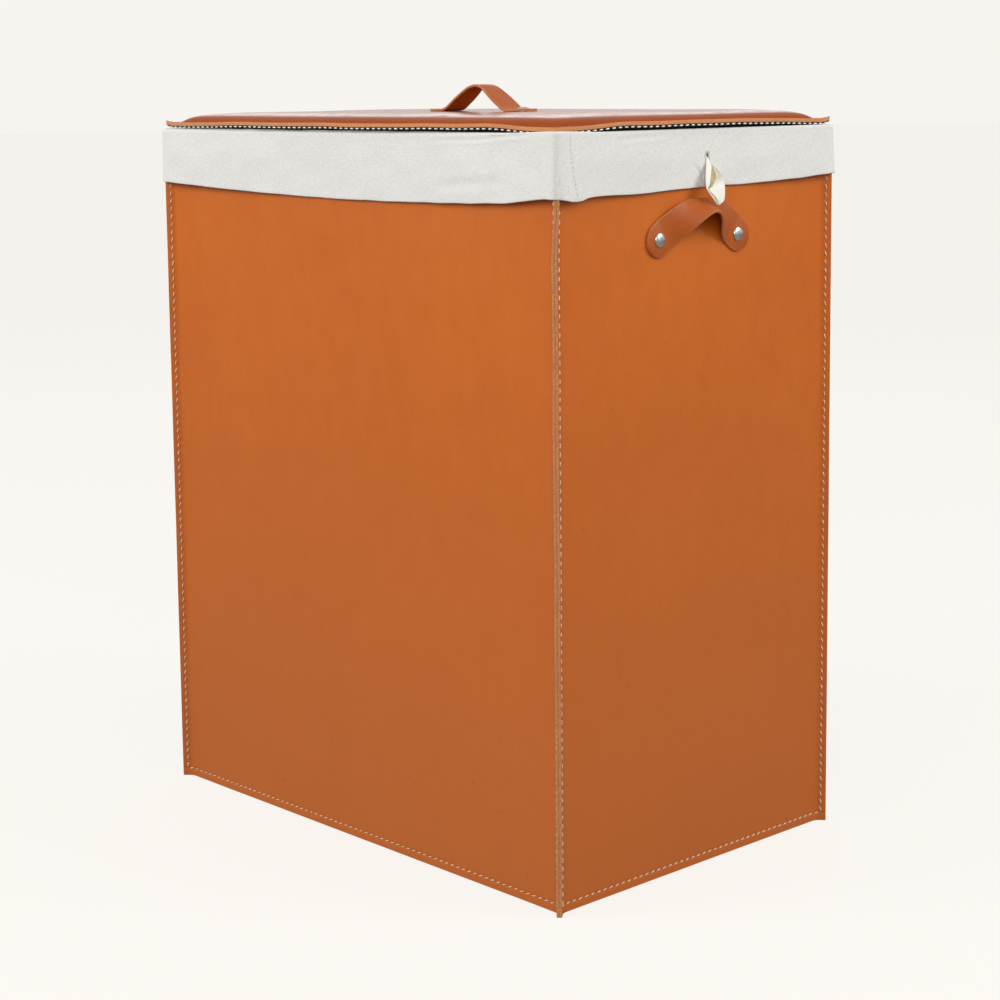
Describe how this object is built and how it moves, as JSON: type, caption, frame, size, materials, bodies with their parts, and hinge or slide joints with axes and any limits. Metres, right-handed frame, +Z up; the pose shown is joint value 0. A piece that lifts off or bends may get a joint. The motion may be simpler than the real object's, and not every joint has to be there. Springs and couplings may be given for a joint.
{
  "type": "lidded laundry hamper with fabric liner",
  "caption": "Tall rectangular leather hamper with pinched sewn corners, riveted strap handles, a removable canvas liner folded over the rim as a cuff and a padded lift-off lid.",
  "frame": {"origin": "centre of the footprint on the floor, bottom of the walls", "axes": "+Z up, X along the long side, -Y out of the front, +X out of the right wall that carries the drawstring end"},
  "size_m": [0.5428, 0.338, 0.6447],
  "materials": {
    "wall_leather": "smooth tan bonded leather, low sheen",
    "strap_leather": "smooth tan leather with pale cut edges",
    "lid_leather": "smooth tan leather, padded",
    "stiffener_board": "grey pressed board",
    "dark_lining": "black lining cloth",
    "lid_lining": "black lining leather",
    "lid_foam": "thin padding felt",
    "liner_canvas": "natural off-white slubby canvas",
    "cotton_tape": "cream flat cotton tape",
    "sewing_thread": "off-white waxed thread",
    "rivet_steel": "satin nickel-plated rivet"
  },
  "bodies": {
    "hamper": {"front_wall_leather": "wall_leather", "front_board": "stiffener_board", "front_lining": "dark_lining", "back_wall_leather": "wall_leather", "back_board": "stiffener_board", "back_lining": "dark_lining", "left_wall_leather": "wall_leather", "left_board": "stiffener_board", "left_lining": "dark_lining", "right_wall_leather": "wall_leather", "right_board": "stiffener_board", "right_lining": "dark_lining", "base_leather": "wall_leather", "base_board": "stiffener_board", "base_lining": "dark_lining", "left_handle_strap": "strap_leather", "left_handle_rivets": "rivet_steel", "left_handle_washers": "rivet_steel", "right_handle_strap": "strap_leather", "right_handle_rivets": "rivet_steel", "right_handle_washers": "rivet_steel"},
    "liner": {"liner_front": "liner_canvas", "cuff_front": "liner_canvas", "liner_back": "liner_canvas", "cuff_back": "liner_canvas", "liner_left": "liner_canvas", "cuff_left": "liner_canvas", "liner_right": "liner_canvas", "cuff_right": "liner_canvas", "liner_base": "liner_canvas", "drawstring_tape": "cotton_tape", "drawstring_tape_end": "cotton_tape", "buttonhole_stitching": "sewing_thread"},
    "lid": {"lid_leather": "lid_leather", "lid_foam": "lid_foam", "lid_board": "stiffener_board", "lid_lining": "lid_lining", "lid_handle": "strap_leather", "lid_handle_rivets": "rivet_steel", "lid_handle_washers": "rivet_steel"}
  },
  "joints": [
    {"name": "liner_lift", "type": "slide", "parent": "hamper", "child": "liner", "axis": [0, 0, 1], "range_m": [0, 0.6]},
    {"name": "lid_lift", "type": "slide", "parent": "liner", "child": "lid", "axis": [0, 0, 1], "range_m": [0, 0.35]}
  ]
}
